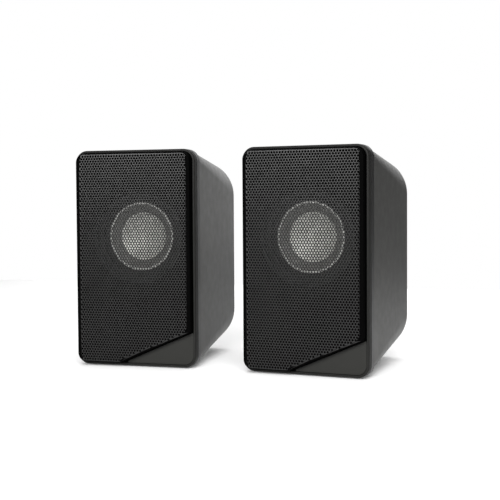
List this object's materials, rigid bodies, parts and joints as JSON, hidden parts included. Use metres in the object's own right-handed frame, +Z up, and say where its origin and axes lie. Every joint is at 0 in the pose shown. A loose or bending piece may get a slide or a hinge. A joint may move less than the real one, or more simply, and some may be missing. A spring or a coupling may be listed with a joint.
{
  "type": "desktop speakers",
  "caption": "Pair of small desktop speakers: tapered housings with raised perforated grilles, a plain corner plate, a driver in each and a rear volume knob.",
  "frame": {"origin": "on the desk, under the middle of the pair's bounding box", "axes": "+X to the right as seen from the front, +Y towards the back, +Z up; the fronts face -Y, each turned 3.84 degrees towards the other"},
  "size_m": [0.1612, 0.0982, 0.1136],
  "materials": {
    "black_plastic": "fine satin moulding",
    "shell_plastic": "fine matt spark-eroded texture",
    "corner_plate_plastic": "smooth satin",
    "grille_steel": "black powder-coated perforated sheet",
    "gland_rubber": "moulded, dull",
    "pad_rubber": "dull foam rubber",
    "basket_steel": "black-coated pressed steel",
    "zinc_steel": "zinc plated",
    "ferrite": "ground ceramic ferrite",
    "surround_rubber": "smooth moulded rubber",
    "spider_cloth": "resin-coated woven cotton",
    "terminal_board": "paper laminate with tinned lugs",
    "cone_silver": "satin silver-coated cone",
    "coil_copper": "lacquered copper wire",
    "circuit_board": "green solder mask",
    "chip_plastic": "moulded epoxy",
    "knob_plastic": "ribbed satin moulding"
  },
  "bodies": {
    "housings": {"left_trim_frame": "black_plastic", "left_grille": "grille_steel", "left_corner_plate": "corner_plate_plastic", "left_front_baffle": "black_plastic", "left_rear_shell": "shell_plastic", "left_cable_gland": "gland_rubber", "left_front_pad_left": "pad_rubber", "left_front_pad_right": "pad_rubber", "left_heel_pad": "pad_rubber", "left_driver_basket": "basket_steel", "left_driver_top_plate": "zinc_steel", "left_driver_magnet": "ferrite", "left_driver_yoke": "zinc_steel", "left_driver_surround": "surround_rubber", "left_driver_spider": "spider_cloth", "left_driver_terminal_strip": "terminal_board", "left_driver_screw_1": "zinc_steel", "left_driver_screw_2": "zinc_steel", "left_driver_screw_3": "zinc_steel", "left_driver_screw_4": "zinc_steel", "left_case_screw_1": "zinc_steel", "left_case_screw_2": "zinc_steel", "left_case_screw_3": "zinc_steel", "left_case_screw_4": "zinc_steel", "right_trim_frame": "black_plastic", "right_grille": "grille_steel", "right_corner_plate": "corner_plate_plastic", "right_front_baffle": "black_plastic", "right_rear_shell": "shell_plastic", "right_cable_gland": "gland_rubber", "right_front_pad_left": "pad_rubber", "right_front_pad_right": "pad_rubber", "right_heel_pad": "pad_rubber", "right_driver_basket": "basket_steel", "right_driver_top_plate": "zinc_steel", "right_driver_magnet": "ferrite", "right_driver_yoke": "zinc_steel", "right_driver_surround": "surround_rubber", "right_driver_spider": "spider_cloth", "right_driver_terminal_strip": "terminal_board", "right_driver_screw_1": "zinc_steel", "right_driver_screw_2": "zinc_steel", "right_driver_screw_3": "zinc_steel", "right_driver_screw_4": "zinc_steel", "right_case_screw_1": "zinc_steel", "right_case_screw_2": "zinc_steel", "right_case_screw_3": "zinc_steel", "right_case_screw_4": "zinc_steel", "right_amplifier_board": "circuit_board", "right_amplifier_chip": "chip_plastic", "right_potentiometer": "zinc_steel", "right_link_gland": "gland_rubber"},
    "left_cone_assembly": {"left_driver_cone": "cone_silver", "left_driver_dust_cap": "cone_silver", "left_driver_voice_coil": "coil_copper"},
    "right_cone_assembly": {"right_driver_cone": "cone_silver", "right_driver_dust_cap": "cone_silver", "right_driver_voice_coil": "coil_copper"},
    "volume_control": {"right_volume_knob": "knob_plastic", "right_potentiometer_shaft": "zinc_steel"}
  },
  "joints": [
    {"name": "left_cone_travel", "type": "slide", "parent": "housings", "child": "left_cone_assembly", "axis": [0.067, -0.9978, 0], "range_m": [-0.001, 0.001], "stiffness_N_per_m": 600, "deforming": ["left_driver_surround", "left_driver_spider"]},
    {"name": "right_cone_travel", "type": "slide", "parent": "housings", "child": "right_cone_assembly", "axis": [-0.067, -0.9978, 0], "range_m": [-0.001, 0.001], "stiffness_N_per_m": 600, "deforming": ["right_driver_surround", "right_driver_spider"]},
    {"name": "volume_turn", "type": "hinge", "parent": "housings", "child": "volume_control", "pos_m": [0.05196, 0.03769, 0.0726], "axis": [-0.067, -0.9978, 0], "range_deg": [0, 300]}
  ]
}
